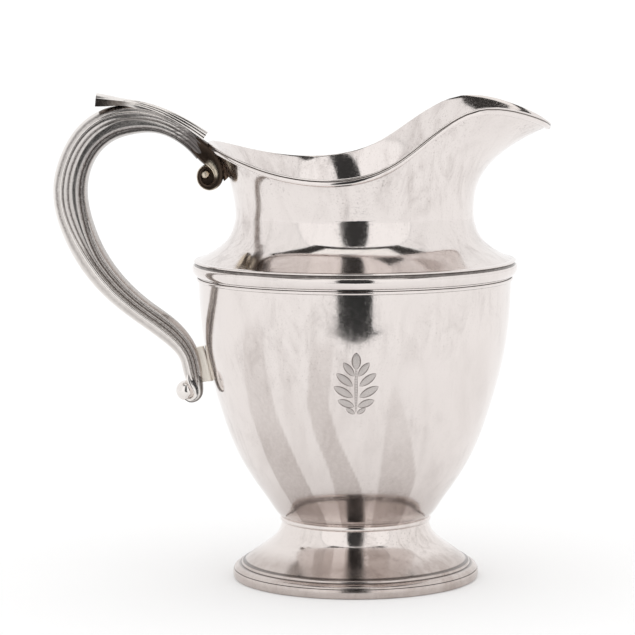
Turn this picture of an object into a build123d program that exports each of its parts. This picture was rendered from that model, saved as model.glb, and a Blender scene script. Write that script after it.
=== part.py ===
"""Footed silver water pitcher: spun bowl, helmet-shaped neck, flared foot and a hollow scroll handle.

Millimetres. +Z is up and the foot stands on Z = 0. The pitcher's axis is the Z axis, the spout points
along +X and the handle along -X, so the whole pitcher is symmetric about the XZ plane.
"""
from build123d import *
import os
from math import cos, hypot, radians, sin

os.makedirs("parts", exist_ok=True)

# Sheet and joints
wall = 1.0
solder_gap = 0.05

# Body
skirt_radius = 78.4
overlap_height = 157.0
waist_radius = 59.6
waist_height = 184.0
collar_radius = 37.0
collar_height = 31.0

# Foot
foot_radius = 62.0
foot_band_height = 4.6
foot_border_height = 6.9
foot_shell_radius = 56.2
foot_shell_top = 28.6
step_bead_size = 1.7

# Shoulder
moulding_bottom = 152.2
moulding_radius = 81.5
bead_bottom = 150.4
bead_radius = 79.1

# Outer outline of the bowl, from the foot collar up to the shoulder, as (radius, height)
bowl_outline = [
    (collar_radius, collar_height),
    (42.8, 37.8),
    (51.2, 50.0),
    (58.6, 62.5),
    (67.9, 87.0),
    (74.6, 112.0),
    (77.8, 136.0),
    (skirt_radius, 150.0),
]
floor_outline = [(0, 27.6), (18.0, 28.1), (30.0, 29.2)]

# Outer outline of the foot's spun shell, from under the collar down to the border
foot_outline = [
    (collar_radius, foot_shell_top),
    (39.2, 22.6),
    (45.8, 16.4),
    (53.2, 10.9),
    (foot_shell_radius, 8.6),
]

# Outer outline of the neck from the shoulder in to the waist
shoulder_outline = [
    (skirt_radius, 161.0),
    (70.6, 165.4),
    (63.4, 171.8),
    (60.4, 178.4),
    (waist_radius, waist_height),
]

# The lip, half way round from the spout to the handle:
# angle from the spout, plan radius, height, how late the wall flares (1 is a straight cone),
# and the share of the flare that comes only in the curl at the edge
lip_stations = [
    (0, 98.5, 227.5, 2.7, 0.0),
    (8, 96.2, 230.0, 2.6, 0.0),
    (17, 90.6, 234.0, 2.4, 0.0),
    (28, 83.0, 238.0, 2.2, 0.05),
    (39, 74.6, 238.6, 2.0, 0.15),
    (50, 68.2, 233.0, 1.8, 0.30),
    (62, 64.8, 224.0, 1.6, 0.45),
    (76, 64.8, 214.0, 1.4, 0.50),
    (92, 66.0, 207.8, 1.3, 0.50),
    (110, 67.4, 206.6, 1.3, 0.50),
    (130, 69.4, 209.8, 1.4, 0.45),
    (155, 71.8, 216.4, 1.6, 0.35),
    (180, 73.0, 219.4, 1.6, 0.30),
]
flare_levels = (0.0, 0.2, 0.4, 0.6, 0.78, 0.9, 1.0)
curl_power = 6
lip_wire_height = 3.0
lip_wire_thickness = 1.6

# Stations along the hollow handle, from the neck to the lower scroll:
# x, z, depth in the plane of the handle, width across it
handle_stations = [
    (-85.7, 224.9, 9.0, 12.4),
    (-99.5, 230.4, 11.5, 14.0),
    (-110.5, 231.4, 14.6, 15.2),
    (-120.0, 229.8, 16.2, 16.2),
    (-130.5, 223.5, 16.8, 16.8),
    (-138.3, 212.0, 16.6, 17.0),
    (-141.9, 196.0, 17.3, 17.0),
    (-138.9, 179.0, 16.8, 16.6),
    (-131.5, 162.5, 15.4, 15.8),
    (-119.5, 146.8, 13.9, 14.6),
    (-104.5, 134.0, 12.6, 13.2),
    (-91.5, 123.8, 12.0, 12.0),
    (-83.8, 113.0, 9.6, 11.0),
    (-81.4, 101.5, 8.6, 10.4),
]
handle_wall = 1.5

# Scrolls at the two ends of the handle
scroll_width = 10.4
eye_stand = 0.9
upper_eye = (-74.4, 203.9)
upper_eye_radius = 2.9
lower_eye = (-84.8, 95.0)
lower_eye_radius = 3.9
lower_scroll_centre = (-84.1, 95.2)
lower_scroll_radius = 6.2
groove_width = 0.9
groove_depth = 1.2

# Thumb leaf along the top of the handle
leaf_width = 9.0
spur_width = 14.0

# Fillers between the handle's ends and the body
strut_width = 7.0
pad_width = 8.4


def inset(outline, distance):
    """Move each point of an open outline to its left by a distance, square to its neighbours."""
    moved = []
    for index, (across, up) in enumerate(outline):
        before = outline[max(index - 1, 0)]
        after = outline[min(index + 1, len(outline) - 1)]
        run = after[0] - before[0]
        rise = after[1] - before[1]
        length = hypot(run, rise)
        moved.append((across - distance * rise / length, up + distance * run / length))
    return moved


def lip_plane(angle):
    """The upright plane through the pitcher's axis at an angle from the spout."""
    return Plane(
        origin=(0, 0, 0),
        x_dir=(cos(radians(angle)), sin(radians(angle)), 0),
        z_dir=(sin(radians(angle)), -cos(radians(angle)), 0),
    )


def flare(station):
    """The outer outline of the neck's wall from the waist up to the lip at one station."""
    angle, reach, height, lateness, curl = station
    outline = []
    for level in flare_levels:
        share = (1 - curl) * level**lateness + curl * level**curl_power
        radius = waist_radius + (reach - waist_radius) * share
        outline.append((radius, waist_height + (height - waist_height) * level))
    return outline


def handle_plane(index):
    """The plane square to the handle at one of its stations, its x axis towards the outside of the bow."""
    before = handle_stations[max(index - 1, 0)]
    after = handle_stations[min(index + 1, len(handle_stations) - 1)]
    x, z = handle_stations[index][:2]
    tangent = Vector(after[0] - before[0], 0, after[1] - before[1]).normalized()
    outward = Vector(tangent.Z, 0, -tangent.X)
    return Plane(origin=(x, 0, z), x_dir=outward, z_dir=tangent)


# The stations all round the lip's half, run one past the middle at each end so that the halves meet smoothly
spout_side = lip_stations[1]
handle_side = lip_stations[-2]
past_spout = (-spout_side[0], *spout_side[1:])
past_handle = (360 - handle_side[0], *handle_side[1:])
lofted_stations = [past_spout, *lip_stations, past_handle]

# ---------------------------------------------------------------- body

# The bowl is spun from one sheet, with a gently domed floor inside the foot
with BuildPart() as bowl:
    with BuildSketch(Plane.XZ):
        with BuildLine():
            outside = Spline(*floor_outline, *bowl_outline, tangents=[(1, 0), (0, 1)])
            inner_points = inset(floor_outline + bowl_outline, wall)
            inner_points[0] = (0, floor_outline[0][1] + wall)
            inner_points[-1] = (skirt_radius - wall, bowl_outline[-1][1])
            inside = Spline(*inner_points, tangents=[(1, 0), (0, 1)])
            Line(outside @ 0, inside @ 0)
            edge_outside = Line(outside @ 1, (skirt_radius, overlap_height))
            edge_inside = Line(inside @ 1, (skirt_radius - wall, overlap_height))
            Line(edge_outside @ 1, edge_inside @ 1)
        make_face()
    revolve(axis=Axis.Z)
bowl.part.label = "bowl"
export_step(bowl.part, "parts/bowl.step")

# The neck stands on the bowl's edge, sweeps in to the waist and flares out again into the lip and spout
with BuildPart() as neck:
    for station in lofted_stations:
        with BuildSketch(lip_plane(station[0])):
            with BuildLine():
                shoulder_tangents = [(-0.86, 0.51), (0, 1)]
                shoulder_outside = Spline(*shoulder_outline, tangents=shoulder_tangents)
                shoulder_points = inset(shoulder_outline, wall)
                shoulder_points[0] = (skirt_radius - wall, 160.3)
                shoulder_points[-1] = (waist_radius - wall, waist_height)
                shoulder_inside = Spline(*shoulder_points, tangents=shoulder_tangents)
                skirt_outside = Line(shoulder_outside @ 0, (skirt_radius, overlap_height))
                skirt_inside = Line(shoulder_inside @ 0, (skirt_radius - wall, overlap_height))
                Line(skirt_outside @ 1, skirt_inside @ 1)
                flare_points = flare(station)
                flare_outside = Spline(*flare_points)
                lining_points = inset(flare_points, wall)
                lining_points[0] = (waist_radius - wall, waist_height)
                flare_inside = Spline(*lining_points)
                Line(flare_outside @ 1, flare_inside @ 1)
            make_face()
    loft()
    split(bisect_by=Plane.XZ, keep=Keep.BOTTOM)
    mirror(about=Plane.XZ)
neck.part.label = "neck"
export_step(neck.part, "parts/neck.step")

# A half-round wire is soldered outside the lip, all the way round
with BuildPart() as rim_moulding:
    for station in lofted_stations:
        below, lip = flare(station)[-2:]
        run = lip[0] - below[0]
        rise = lip[1] - below[1]
        length = hypot(run, rise)
        along = Vector(run / length, rise / length)
        outward = Vector(along.Y, -along.X)
        top = Vector(*lip) + outward * solder_gap
        bottom = top - along * lip_wire_height
        crown = (top + bottom) * 0.5 + outward * lip_wire_thickness
        with BuildSketch(lip_plane(station[0])):
            with BuildLine():
                ThreePointArc(bottom, crown, top)
                Line(top, bottom)
            make_face()
    loft()
    split(bisect_by=Plane.XZ, keep=Keep.BOTTOM)
    mirror(about=Plane.XZ)
rim_moulding.part.label = "rim_moulding"
export_step(rim_moulding.part, "parts/rim_moulding.step")

# The ovolo moulding covers the joint between the neck and the bowl
with BuildPart() as shoulder_moulding:
    with BuildSketch(Plane.XZ):
        with BuildLine():
            back = Line((skirt_radius + solder_gap, moulding_bottom), (skirt_radius + solder_gap, 160.9))
            top = ThreePointArc(back @ 1, (80.3, 160.5), (moulding_radius, 158.6))
            belly = Spline(top @ 1, (80.9, 156.0), (79.5, 153.8), tangents=[(0, -1), (-0.5, -0.86)])
            lip_line = Line(belly @ 1, (79.5, moulding_bottom))
            Line(lip_line @ 1, back @ 0)
        make_face()
    revolve(axis=Axis.Z)
shoulder_moulding.part.label = "shoulder_moulding"
export_step(shoulder_moulding.part, "parts/shoulder_moulding.step")

# A fine bead finishes the moulding's lower edge
with BuildPart() as shoulder_bead:
    with BuildSketch(Plane.XZ):
        with BuildLine():
            bead_back = skirt_radius + solder_gap
            back = Line((bead_back, moulding_bottom), (bead_back, bead_bottom))
            ThreePointArc(back @ 1, (bead_radius, (moulding_bottom + bead_bottom) / 2), back @ 0)
        make_face()
    revolve(axis=Axis.Z)
shoulder_bead.part.label = "shoulder_bead"
export_step(shoulder_bead.part, "parts/shoulder_bead.step")

# ---------------------------------------------------------------- foot

# A ring between the foot and the bowl, fitted to the curve of the bowl's floor
with BuildPart() as foot_collar:
    with BuildSketch(Plane.XZ):
        with BuildLine():
            base_line = Line((33.6, foot_shell_top), (collar_radius + 0.5, foot_shell_top))
            ThreePointArc(base_line @ 1, (collar_radius + 1.1, 29.9), (collar_radius + 0.6, 31.4))
            Polyline((collar_radius + 0.6, 31.4), (36.8, 31.4), (33.6, 30.5), base_line @ 0)
        make_face()
    revolve(axis=Axis.Z)
    add(bowl.part, mode=Mode.SUBTRACT)
collar_ring = foot_collar.part.solids().sort_by(SortBy.VOLUME)[-1]
collar_ring.label = "foot_collar"
export_step(collar_ring, "parts/foot_collar.step")

# The foot's shell is a spun cavetto that flares down to the border
with BuildPart() as foot:
    with BuildSketch(Plane.XZ):
        with BuildLine():
            outside = Spline(*foot_outline, tangents=[(0.15, -1), (1, -0.7)])
            inner_points = inset(list(reversed(foot_outline)), wall)
            inner_points[0] = (foot_shell_radius - wall, 7.6)
            inner_points[-1] = (collar_radius - wall, foot_shell_top)
            inside = Spline(*inner_points, tangents=[(-1, 0.7), (-0.15, 1)])
            edge_outside = Line(outside @ 1, (foot_shell_radius, foot_border_height))
            edge_inside = Line(inside @ 0, (foot_shell_radius - wall, foot_border_height))
            Line(edge_outside @ 1, edge_inside @ 1)
            Line(outside @ 0, inside @ 1)
        make_face()
    revolve(axis=Axis.Z)
foot.part.label = "foot"
export_step(foot.part, "parts/foot.step")

# A quarter-round bead covers the edge of the foot's shell
with BuildPart() as foot_step_bead:
    with BuildSketch(Plane.XZ):
        with BuildLine():
            heel = (foot_shell_radius, foot_border_height)
            toe = Line(heel, (foot_shell_radius + step_bead_size, foot_border_height))
            back = Line(heel, (foot_shell_radius, foot_border_height + step_bead_size))
            RadiusArc(toe @ 1, back @ 1, -step_bead_size)
        make_face()
    revolve(axis=Axis.Z)
foot_step_bead.part.label = "foot_step_bead"
export_step(foot_step_bead.part, "parts/foot_step_bead.step")

# The border slopes down from the bead to the edge of the foot
with BuildPart() as foot_border:
    with BuildSketch(Plane.XZ):
        with BuildLine():
            top = Line((54.2, foot_border_height), (57.9, foot_border_height))
            slope = ThreePointArc(top @ 1, (60.2, 6.3), (61.5, 4.9))
            Polyline(slope @ 1, (61.5, foot_band_height), (57.4, foot_band_height), (54.2, 5.9), top @ 0)
        make_face()
    revolve(axis=Axis.Z)
foot_border.part.label = "foot_border"
export_step(foot_border.part, "parts/foot_border.step")

# The upright band is what the pitcher stands on
with BuildPart() as foot_band:
    with BuildSketch(Plane.XZ):
        with BuildLine():
            top = Line((58.8, foot_band_height), (61.4, foot_band_height))
            side = ThreePointArc(top @ 1, (foot_radius, 2.4), (61.5, 0))
            bottom = Line(side @ 1, (58.8, 0))
            Line(bottom @ 1, top @ 0)
        make_face()
    revolve(axis=Axis.Z)
foot_band.part.label = "foot_band"
export_step(foot_band.part, "parts/foot_band.step")

# ---------------------------------------------------------------- handle


def handle_half(side):
    """One hollow half of the handle: side is 1 for +Y and -1 for -Y."""
    with BuildPart() as half:
        for index, (x, z, depth, width) in enumerate(handle_stations):
            with BuildSketch(handle_plane(index)):
                with BuildLine():
                    start = 0 if side > 0 else 180
                    outer = EllipticalCenterArc(
                        (0, 0), depth / 2, width / 2, start_angle=start, arc_size=180
                    )
                    inner = EllipticalCenterArc(
                        (0, 0), depth / 2 - handle_wall, width / 2 - handle_wall, start_angle=start, arc_size=180
                    )
                    Line(outer @ 0, inner @ 0)
                    Line(outer @ 1, inner @ 1)
                make_face()
        loft()
    return half


handle_near_half = handle_half(-1)
handle_near_half.part.label = "handle_near_half"
export_step(handle_near_half.part, "parts/handle_near_half.step")

handle_far_half = handle_half(1)
handle_far_half.part.label = "handle_far_half"
export_step(handle_far_half.part, "parts/handle_far_half.step")


def eye_button(eye, radius):
    """The domed eye of a scroll, standing a little proud on both sides."""
    with BuildPart() as button:
        with BuildSketch(Plane.XZ):
            with Locations(eye):
                Circle(radius)
        extrude(amount=scroll_width / 2 + eye_stand, both=True)
        fillet(button.edges().filter_by(GeomType.CIRCLE), radius=eye_stand)
    return button.part


def eye_grooves(eye, radius):
    """The ring-shaped grooves round a scroll's eye, one in each side face."""
    with BuildPart() as grooves:
        for side in (-1, 1):
            with BuildSketch(Plane.XZ.offset(side * (scroll_width / 2 - groove_depth))):
                with Locations(eye):
                    Circle(radius + groove_width)
                    Circle(radius, mode=Mode.SUBTRACT)
            extrude(amount=side * 2 * groove_depth)
    return grooves.part


# The handle's upper end runs down into a volute that touches the neck
with BuildPart() as upper_scroll:
    with BuildSketch(Plane.XZ):
        with BuildLine():
            end_plane = handle_plane(0)
            half_depth = handle_stations[0][2] / 2
            outer_corner = end_plane.origin + end_plane.x_dir * half_depth
            inner_corner = end_plane.origin - end_plane.x_dir * half_depth
            start = (outer_corner.X, outer_corner.Z)
            back = (inner_corner.X, inner_corner.Z)
            Polyline(start, (-75.3, 223.6), (-75.3, 217.6))
            curl = Spline(
                (-75.3, 217.6), (-70.3, 215.0), (-66.3, 210.3), (-64.8, 204.0),
                (-66.8, 198.4), (-71.7, 196.0), (-77.0, 198.4), (-79.0, 203.6),
            )
            Spline(curl @ 1, (-78.5, 207.0), (-76.9, 209.2))
            Spline((-76.9, 209.2), (-78.6, 212.8), (-82.2, 217.6), back)
            Line(back, start)
        make_face()
    extrude(amount=scroll_width / 2, both=True)
    add(eye_grooves(upper_eye, upper_eye_radius), mode=Mode.SUBTRACT)
    add(eye_button(upper_eye, upper_eye_radius))
    add(neck.part, mode=Mode.SUBTRACT)
    add(rim_moulding.part, mode=Mode.SUBTRACT)
    add(handle_near_half.part, mode=Mode.SUBTRACT)
    add(handle_far_half.part, mode=Mode.SUBTRACT)
upper_volute = upper_scroll.part.solids().sort_by(SortBy.VOLUME)[-1]
upper_volute.label = "upper_scroll"
export_step(upper_volute, "parts/upper_scroll.step")

# The handle's lower end curls outwards into a small scroll
with BuildPart() as lower_scroll:
    with BuildSketch(Plane.XZ):
        with BuildLine():
            end_plane = handle_plane(len(handle_stations) - 1)
            half_depth = handle_stations[-1][2] / 2
            outer_corner = end_plane.origin + end_plane.x_dir * half_depth
            inner_corner = end_plane.origin - end_plane.x_dir * half_depth
            centre_x, centre_z = lower_scroll_centre
            right = (centre_x + lower_scroll_radius, centre_z)
            bottom = (centre_x, centre_z - lower_scroll_radius)
            tip = (centre_x + lower_scroll_radius * cos(radians(140)),
                   centre_z + lower_scroll_radius * sin(radians(140)))
            down = Spline((inner_corner.X, inner_corner.Z), right, tangents=[(0.1, -1), (0, -1)])
            curl = ThreePointArc(right, bottom, tip)
            Polyline(tip, (outer_corner.X - 0.4, outer_corner.Z - 1.2), (outer_corner.X, outer_corner.Z))
            Line((outer_corner.X, outer_corner.Z), down @ 0)
        make_face()
    extrude(amount=scroll_width / 2, both=True)
    add(eye_grooves(lower_eye, lower_eye_radius), mode=Mode.SUBTRACT)
    add(eye_button(lower_eye, lower_eye_radius))
    add(handle_near_half.part, mode=Mode.SUBTRACT)
    add(handle_far_half.part, mode=Mode.SUBTRACT)
lower_volute = lower_scroll.part.solids().sort_by(SortBy.VOLUME)[-1]
lower_volute.label = "lower_scroll"
export_step(lower_volute, "parts/lower_scroll.step")

# A strap-like leaf lies along the top of the handle and ends in a forked thumb spur
with BuildPart() as thumb_leaf:
    with BuildSketch(Plane.XZ):
        with BuildLine():
            crest = Spline((-75.3, 226.2), (-83.5, 231.2), (-96.4, 237.6), (-110.2, 240.9), (-124.1, 243.0))
            Line(crest @ 1, (-127.3, 244.7))
            fork = ThreePointArc((-127.3, 244.7), (-126.9, 241.6), (-129.5, 238.6))
            Line(fork @ 1, (-127.5, 233.9))
            seat = Spline((-127.5, 233.9), (-122.5, 236.1), (-110.6, 237.4), (-97.7, 234.7), (-83.8, 227.8),
                          (-75.3, 223.0))
            Line(seat @ 1, crest @ 0)
        make_face()
    extrude(amount=spur_width / 2, both=True)
    with BuildSketch(Plane.XY.offset(upper_eye[1])):
        with BuildLine():
            Polyline(
                (-70.0, leaf_width / 2), (-116.0, leaf_width / 2), (-124.0, spur_width / 2),
                (-132.0, spur_width / 2), (-132.0, -spur_width / 2), (-124.0, -spur_width / 2),
                (-116.0, -leaf_width / 2), (-70.0, -leaf_width / 2), close=True,
            )
        make_face()
    extrude(amount=waist_radius, mode=Mode.INTERSECT)
    add(handle_near_half.part, mode=Mode.SUBTRACT)
    add(handle_far_half.part, mode=Mode.SUBTRACT)
    add(upper_volute, mode=Mode.SUBTRACT)
leaf = thumb_leaf.part.solids().sort_by(SortBy.VOLUME)[-1]
leaf.label = "thumb_leaf"
export_step(leaf, "parts/thumb_leaf.step")

# A short strut fills the corner between the upper volute and the neck, under the lip
with BuildPart() as upper_strut:
    with BuildSketch(Plane.XZ):
        with BuildLine():
            Polyline((-73.0, 216.0), (-68.0, 216.4), (-60.0, 204.8), (-70.0, 204.8), close=True)
        make_face()
    extrude(amount=strut_width / 2, both=True)
    add(neck.part, mode=Mode.SUBTRACT)
    add(rim_moulding.part, mode=Mode.SUBTRACT)
    add(upper_volute, mode=Mode.SUBTRACT)
strut = upper_strut.part.solids().sort_by(SortBy.VOLUME)[-1]
strut.label = "upper_strut"
export_step(strut, "parts/upper_strut.step")

# A pad stands between the handle's lower end and the bowl
with BuildPart() as lower_pad:
    with BuildSketch(Plane.XZ):
        with BuildLine():
            Polyline((-80.0, 118.0), (-75.0, 118.0), (-71.2, 99.8), (-80.0, 99.8), close=True)
        make_face()
    extrude(amount=pad_width / 2, both=True)
    add(bowl.part, mode=Mode.SUBTRACT)
    add(handle_near_half.part, mode=Mode.SUBTRACT)
    add(handle_far_half.part, mode=Mode.SUBTRACT)
    add(lower_volute, mode=Mode.SUBTRACT)
pad = lower_pad.part.solids().sort_by(SortBy.VOLUME)[-1]
pad.label = "lower_pad"
export_step(pad, "parts/lower_pad.step")
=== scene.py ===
"""Looks of a footed silver water pitcher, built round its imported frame.

Metres in the scene, millimetres in the outlines. +Z is up, the spout points along +X and the handle
along -X, and the foot stands on Z = 0.
"""

from math import atan2, cos, pi, radians, sin

import bpy
import numpy as np
from mathutils import Matrix, Vector


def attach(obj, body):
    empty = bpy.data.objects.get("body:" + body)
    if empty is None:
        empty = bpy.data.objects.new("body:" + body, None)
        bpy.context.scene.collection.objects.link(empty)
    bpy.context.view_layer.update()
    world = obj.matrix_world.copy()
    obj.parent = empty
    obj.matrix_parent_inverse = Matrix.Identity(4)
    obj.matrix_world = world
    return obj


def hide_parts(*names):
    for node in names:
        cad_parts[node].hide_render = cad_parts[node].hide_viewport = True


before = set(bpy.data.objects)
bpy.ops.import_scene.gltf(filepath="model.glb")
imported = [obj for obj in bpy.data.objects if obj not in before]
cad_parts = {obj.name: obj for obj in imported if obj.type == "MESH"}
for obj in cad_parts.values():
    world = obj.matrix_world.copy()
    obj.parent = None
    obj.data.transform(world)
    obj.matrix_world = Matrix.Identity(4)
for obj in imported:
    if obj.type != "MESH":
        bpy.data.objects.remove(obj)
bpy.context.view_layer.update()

MM = 0.001
# In metres: how near points are to be merged, and how deep the finest marks in the silver look
MERGE_REACH = 2e-6
SCRATCH_DEPTH = 0.00003

# ------------------------------ sizes, in millimetres

WALL = 1.0
TURN_STEPS = 192
BOWL_STEPS = 320
LIP_STEPS = 240

COLLAR_RADIUS = 37
BOWL_RADIUS = 78.4
BOWL_TOP = 157
NECK_BASE = 158.0

floor_line = [(0, 27.6), (18, 28.1), (30, 29.2)]
bowl_line = [
    (COLLAR_RADIUS, 31), (42.8, 37.8), (51.2, 50), (58.6, 62.5), (67.9, 87), (74.6, 112), (77.8, 136),
    (BOWL_RADIUS, 150),
]

shoulder_line = [
    (BOWL_RADIUS, 161), (70.6, 165.4), (63.4, 171.8), (60.4, 178.4), (59.7, 182), (59.6, 184),
]
waist_radius, waist_height = shoulder_line[-1]

# The lip, half way round from the spout to the handle: angle, plan radius, height, lateness of the flare,
# and the share of it that comes only in the curl at the edge
lip_stations = [
    (0, 98.5, 227.5, 2.7, 0), (8, 96.2, 230, 2.6, 0), (17, 90.6, 234, 2.4, 0), (28, 83, 238, 2.2, 0.05),
    (39, 74.6, 238.6, 2.0, 0.15), (50, 68.2, 233, 1.8, 0.28), (62, 64.8, 224, 1.3, 0.30),
    (76, 64.8, 214, 1.0, 0.22), (92, 66, 207.8, 1.0, 0.22), (110, 67.4, 206.6, 1.0, 0.26),
    (130, 69.4, 209.8, 1.1, 0.32),
    (155, 71.8, 216.4, 1.5, 0.35), (180, 73, 219.4, 1.6, 0.3),
]
# Heights, as shares of the flare's, at which its line is set out; the curl comes with a high power of them
flare_levels = (0.12, 0.24, 0.4, 0.6, 0.78, 0.9, 1.0)
CURL_POWER = 6
# How far the lip rises towards the far side, for each millimetre of its reach
LIP_LEAN = 0.036
LIP_ROUNDING = 0.35
WIRE_HEIGHT = 3.0
WIRE_DEPTH = 1.6
WIRE_SINK = 0.15
WIRE_POINTS = 15
# How far below the rim wire its tarnish trails
TRAIL_REACH = 16

SHELL_END = 56.2
SHELL_BASE = 6.9
STEP_BEAD = 1.7
foot_line = [(COLLAR_RADIUS, 28.6), (39.2, 22.6), (45.8, 16.4), (53.2, 10.9), (SHELL_END, 8.6)]

HANDLE_CUTS = 180
# Stations along the handle from the upper volute to the lower scroll: x, z, depth in its plane and width
# across it
handle_stations = [
    (-75.6, 214.4, 8.6, 9.4), (-80.2, 219.6, 8.9, 10.8), (-86.2, 224.4, 9.3, 12.2),
    (-99.5, 230.4, 11.5, 14), (-110.5, 231.4, 14.6, 15.2), (-120, 229.8, 16.2, 16.2),
    (-130.5, 223.5, 16.8, 16.8), (-138.3, 212, 16.6, 17), (-141.9, 196, 17.3, 17), (-138.9, 179, 16.8, 16.6),
    (-131.5, 162.5, 15.4, 15.8), (-119.5, 146.8, 13.9, 14.6), (-104.5, 134, 12.6, 13.2),
    (-91.4, 123.8, 12.2, 12), (-83.5, 113, 10.2, 11), (-80.9, 101.5, 9.0, 10.4), (-79.7, 96.5, 6.2, 9.4),
]

# Mouldings across one side of the reeded handle, from its outer back to its inner edge: for each, how many
# points, then its share of the handle's depth over the arch, the same low down, and its share of the half
# width
reeds = [
    (16, [(0, 0, 0), (0.015, 0.02, 0.22), (0.045, 0.06, 0.42), (0.09, 0.13, 0.58), (0.15, 0.21, 0.68),
          (0.20, 0.27, 0.72)]),
    (10, [(0.21, 0.28, 0.735), (0.218, 0.29, 0.80), (0.24, 0.325, 0.86), (0.265, 0.37, 0.865),
          (0.285, 0.40, 0.82)]),
    (10, [(0.292, 0.41, 0.785), (0.32, 0.425, 0.77), (0.36, 0.445, 0.79), (0.41, 0.475, 0.84),
          (0.45, 0.505, 0.90)]),
    (12, [(0.457, 0.515, 0.88), (0.475, 0.53, 0.93), (0.53, 0.56, 0.985), (0.62, 0.60, 1.0),
          (0.71, 0.64, 0.975), (0.775, 0.67, 0.92)]),
    (6, [(0.79, 0.685, 0.84), (0.81, 0.70, 0.78), (0.84, 0.73, 0.765), (0.865, 0.76, 0.78)]),
    (16, [(0.875, 0.775, 0.82), (0.89, 0.80, 0.845), (0.91, 0.84, 0.82), (0.94, 0.90, 0.70),
          (0.97, 0.95, 0.50), (0.99, 0.985, 0.25), (1, 1, 0)]),
]


# ------------------------------ lines


def natural_spline(knots, values):
    """The natural cubic spline through rows of values at their knots, as a function of the place."""
    gaps = np.diff(knots)
    count = len(knots)
    matrix = np.eye(count)
    target = np.zeros(values.shape)
    for row in range(1, count - 1):
        before, after = gaps[row - 1], gaps[row]
        matrix[row, row - 1:row + 2] = before, 2 * (before + after), after
        rise_after = (values[row + 1] - values[row]) / after
        rise_before = (values[row] - values[row - 1]) / before
        target[row] = 6 * (rise_after - rise_before)
    bend = np.linalg.solve(matrix, target)

    def at(place):
        place = np.atleast_1d(np.asarray(place, float))
        left = np.clip(np.searchsorted(knots, place, side="right") - 1, 0, count - 2)
        gap = gaps[left]
        near = (knots[left + 1] - place) / gap
        far = 1 - near
        curve = (near**3 - near)[:, None] * bend[left] + (far**3 - far)[:, None] * bend[left + 1]
        return near[:, None] * values[left] + far[:, None] * values[left + 1] + curve * (gap**2)[:, None] / 6

    return at


def smooth(points, count):
    """Rows evenly spread along a smooth curve through a few rows, whose first two columns are the place."""
    rows = np.array(points, float)
    steps = np.linalg.norm(np.diff(rows[:, :2], axis=0), axis=1)
    knots = np.concatenate([[0], np.cumsum(steps)])
    return natural_spline(knots, rows)(np.linspace(0, knots[-1], count))


def beside(line, distance):
    """A line moved to its left by a distance."""
    way = np.gradient(line, axis=0)
    way /= np.linalg.norm(way, axis=1)[:, None]
    return line + distance * np.stack([-way[:, 1], way[:, 0]], axis=1)


def arc(radius, height, out, up, angles):
    """Points round a middle, at angles in degrees from straight up, turning outwards."""
    return [(radius + out * sin(radians(a)), height + up * cos(radians(a))) for a in angles]


# ------------------------------ ways of making a mesh


def deselect_all():
    """Leave edit mode and select nothing."""
    if bpy.context.object and bpy.context.object.mode != "OBJECT":
        bpy.ops.object.mode_set(mode="OBJECT")
    bpy.ops.object.select_all(action="DESELECT")


def smooth_shade(piece, crease=40):
    """Smooth shading that keeps the edges sharper than an angle in degrees."""
    deselect_all()
    piece.select_set(True)
    bpy.context.view_layer.objects.active = piece
    bpy.ops.object.shade_smooth_by_angle(angle=radians(crease))


def turn(name, outline, crease=40, steps=TURN_STEPS):
    """A piece turned on the pitcher's axis from a closed outline of (radius, height) in millimetres."""
    deselect_all()
    bpy.ops.mesh.primitive_circle_add(vertices=len(outline), radius=0.01, fill_type="NOTHING")
    piece = bpy.context.object
    piece.name = name
    for vertex, (radius, height) in zip(piece.data.vertices, outline):
        vertex.co = (radius * MM, 0, height * MM)
    bpy.ops.object.mode_set(mode="EDIT")
    bpy.ops.mesh.select_all(action="SELECT")
    bpy.ops.mesh.spin(steps=steps, angle=2 * pi, center=(0, 0, 0), axis=(0, 0, 1))
    bpy.ops.mesh.select_all(action="SELECT")
    bpy.ops.mesh.remove_doubles(threshold=MERGE_REACH)
    bpy.ops.mesh.dissolve_degenerate(threshold=1e-6)
    bpy.ops.mesh.delete_loose(use_verts=True, use_edges=True, use_faces=False)
    bpy.ops.mesh.select_all(action="SELECT")
    bpy.ops.mesh.normals_make_consistent(inside=False)
    bpy.ops.object.mode_set(mode="OBJECT")
    smooth_shade(piece, crease)
    return piece


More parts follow.
